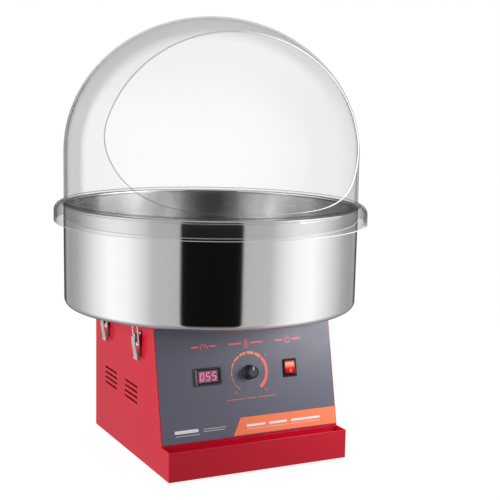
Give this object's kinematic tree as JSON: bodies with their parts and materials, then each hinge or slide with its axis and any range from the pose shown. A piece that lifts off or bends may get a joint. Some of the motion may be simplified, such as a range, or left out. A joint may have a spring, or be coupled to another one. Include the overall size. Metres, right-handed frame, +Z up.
{
  "type": "cotton candy machine",
  "caption": "Table-top cotton candy machine: red sheet-metal base with a sloping control panel and front trough, steel bowl, spinner head, and a clear dome with a side mouth.",
  "frame": {"origin": "on the floor, under the axis of the bowl and spinner head", "axes": "+Z up along the bowl's axis, -Y towards the control panel at the front, +X to the right of a viewer who faces the panel"},
  "size_m": [0.5528, 0.5528, 0.7545],
  "materials": {
    "red_paint": "gloss powder coat",
    "label": "printed film",
    "steel": "polished",
    "clear_plastic": "clear, polished",
    "nickel": "nickel plated",
    "zinc": "zinc plated",
    "black_plastic": "fine grain",
    "knob_plastic": "satin",
    "red_lens": "translucent, lit",
    "meter_tint": "tinted window",
    "rubber": "moulded",
    "head_alloy": "machined",
    "screen_steel": "perforated",
    "element": "heat tinted",
    "copper": "turned",
    "brass": "stamped",
    "carbon": "pressed carbon",
    "bakelite": "moulded",
    "motor_paint": "satin",
    "board": "circuit board",
    "lead": "insulated lead"
  },
  "bodies": {
    "base": {"base_housing": "red_paint", "front_tray": "red_paint", "front_panel": "red_paint", "top_deck": "red_paint", "panel_label": "label", "bottom_plate": "zinc", "motor_bracket": "zinc", "pot_body": "zinc", "foot_1": "rubber", "damper_1": "rubber", "latch_plate_1": "nickel", "bowl_hook_1": "nickel", "foot_2": "rubber", "damper_2": "rubber", "latch_plate_2": "nickel", "bowl_hook_2": "nickel", "foot_3": "rubber", "damper_3": "rubber", "latch_plate_3": "nickel", "bowl_hook_3": "nickel", "foot_4": "rubber", "damper_4": "rubber", "latch_plate_4": "nickel", "bowl_hook_4": "nickel", "meter_body": "black_plastic", "meter_window": "meter_tint", "switch_body": "black_plastic", "power_inlet": "black_plastic", "fuse_holder": "black_plastic", "brush_holder": "black_plastic", "control_board": "board", "motor_body": "motor_paint", "carbon_brush_lower": "carbon", "brush_terminal_lower": "brass", "brush_lead_lower": "lead", "carbon_brush_upper": "carbon", "brush_terminal_upper": "brass", "brush_lead_upper": "lead", "bowl": "steel"},
    "rotor": {"spindle": "steel", "ring_core": "bakelite", "slip_ring_lower": "copper", "slip_ring_upper": "copper", "head_plate": "head_alloy", "head_nut": "nickel", "heater_ring": "element", "head_screen": "screen_steel", "head_cap": "head_alloy"},
    "dome": {"dome": "clear_plastic"},
    "knob": {"heat_knob": "knob_plastic", "pot_shaft": "zinc"},
    "rocker": {"rocker": "red_lens"},
    "lever_1": {"latch_lever_1": "nickel"},
    "bail_1": {"latch_bail_1": "nickel"},
    "lever_2": {"latch_lever_2": "nickel"},
    "bail_2": {"latch_bail_2": "nickel"},
    "lever_3": {"latch_lever_3": "nickel"},
    "bail_3": {"latch_bail_3": "nickel"},
    "lever_4": {"latch_lever_4": "nickel"},
    "bail_4": {"latch_bail_4": "nickel"}
  },
  "joints": [
    {"name": "head_spin", "type": "hinge", "parent": "base", "child": "rotor", "pos_m": [0, 0, 0.3], "axis": [0, 0, 1], "continuous": true},
    {"name": "dome_lift", "type": "slide", "parent": "base", "child": "dome", "axis": [0, 0, 1], "range_m": [0, 0.1]},
    {"name": "knob_turn", "type": "hinge", "parent": "base", "child": "knob", "pos_m": [0.0025, -0.16611, 0.16069], "axis": [0, -0.9775, 0.2108], "range_deg": [-132, 149]},
    {"name": "rocker_tilt", "type": "hinge", "parent": "base", "child": "rocker", "pos_m": [0.08, -0.1574, 0.15933], "axis": [1, 0, 0], "range_deg": [0, 22]},
    {"name": "lever_1_open", "type": "hinge", "parent": "base", "child": "lever_1", "pos_m": [-0.173, -0.078, 0.216], "axis": [0, 1, 0], "range_deg": [0, 70]},
    {"name": "bail_1_follow", "type": "hinge", "parent": "lever_1", "child": "bail_1", "pos_m": [-0.1705, -0.078, 0.204], "axis": [0, 1, 0], "range_deg": [-51, 0]},
    {"name": "lever_2_open", "type": "hinge", "parent": "base", "child": "lever_2", "pos_m": [-0.173, 0.078, 0.216], "axis": [0, 1, 0], "range_deg": [0, 70]},
    {"name": "bail_2_follow", "type": "hinge", "parent": "lever_2", "child": "bail_2", "pos_m": [-0.1705, 0.078, 0.204], "axis": [0, 1, 0], "range_deg": [-51, 0]},
    {"name": "lever_3_open", "type": "hinge", "parent": "base", "child": "lever_3", "pos_m": [0.173, -0.078, 0.216], "axis": [0, -1, 0], "range_deg": [0, 70]},
    {"name": "bail_3_follow", "type": "hinge", "parent": "lever_3", "child": "bail_3", "pos_m": [0.1705, -0.078, 0.204], "axis": [0, -1, 0], "range_deg": [-51, 0]},
    {"name": "lever_4_open", "type": "hinge", "parent": "base", "child": "lever_4", "pos_m": [0.173, 0.078, 0.216], "axis": [0, -1, 0], "range_deg": [0, 70]},
    {"name": "bail_4_follow", "type": "hinge", "parent": "lever_4", "child": "bail_4", "pos_m": [0.1705, 0.078, 0.204], "axis": [0, -1, 0], "range_deg": [-51, 0]}
  ],
  "couplings": [
    {"joint": "bail_1_follow", "follows": "lever_1_open", "ratio": -0.72},
    {"joint": "bail_2_follow", "follows": "lever_2_open", "ratio": -0.72},
    {"joint": "bail_3_follow", "follows": "lever_3_open", "ratio": -0.72},
    {"joint": "bail_4_follow", "follows": "lever_4_open", "ratio": -0.72}
  ]
}
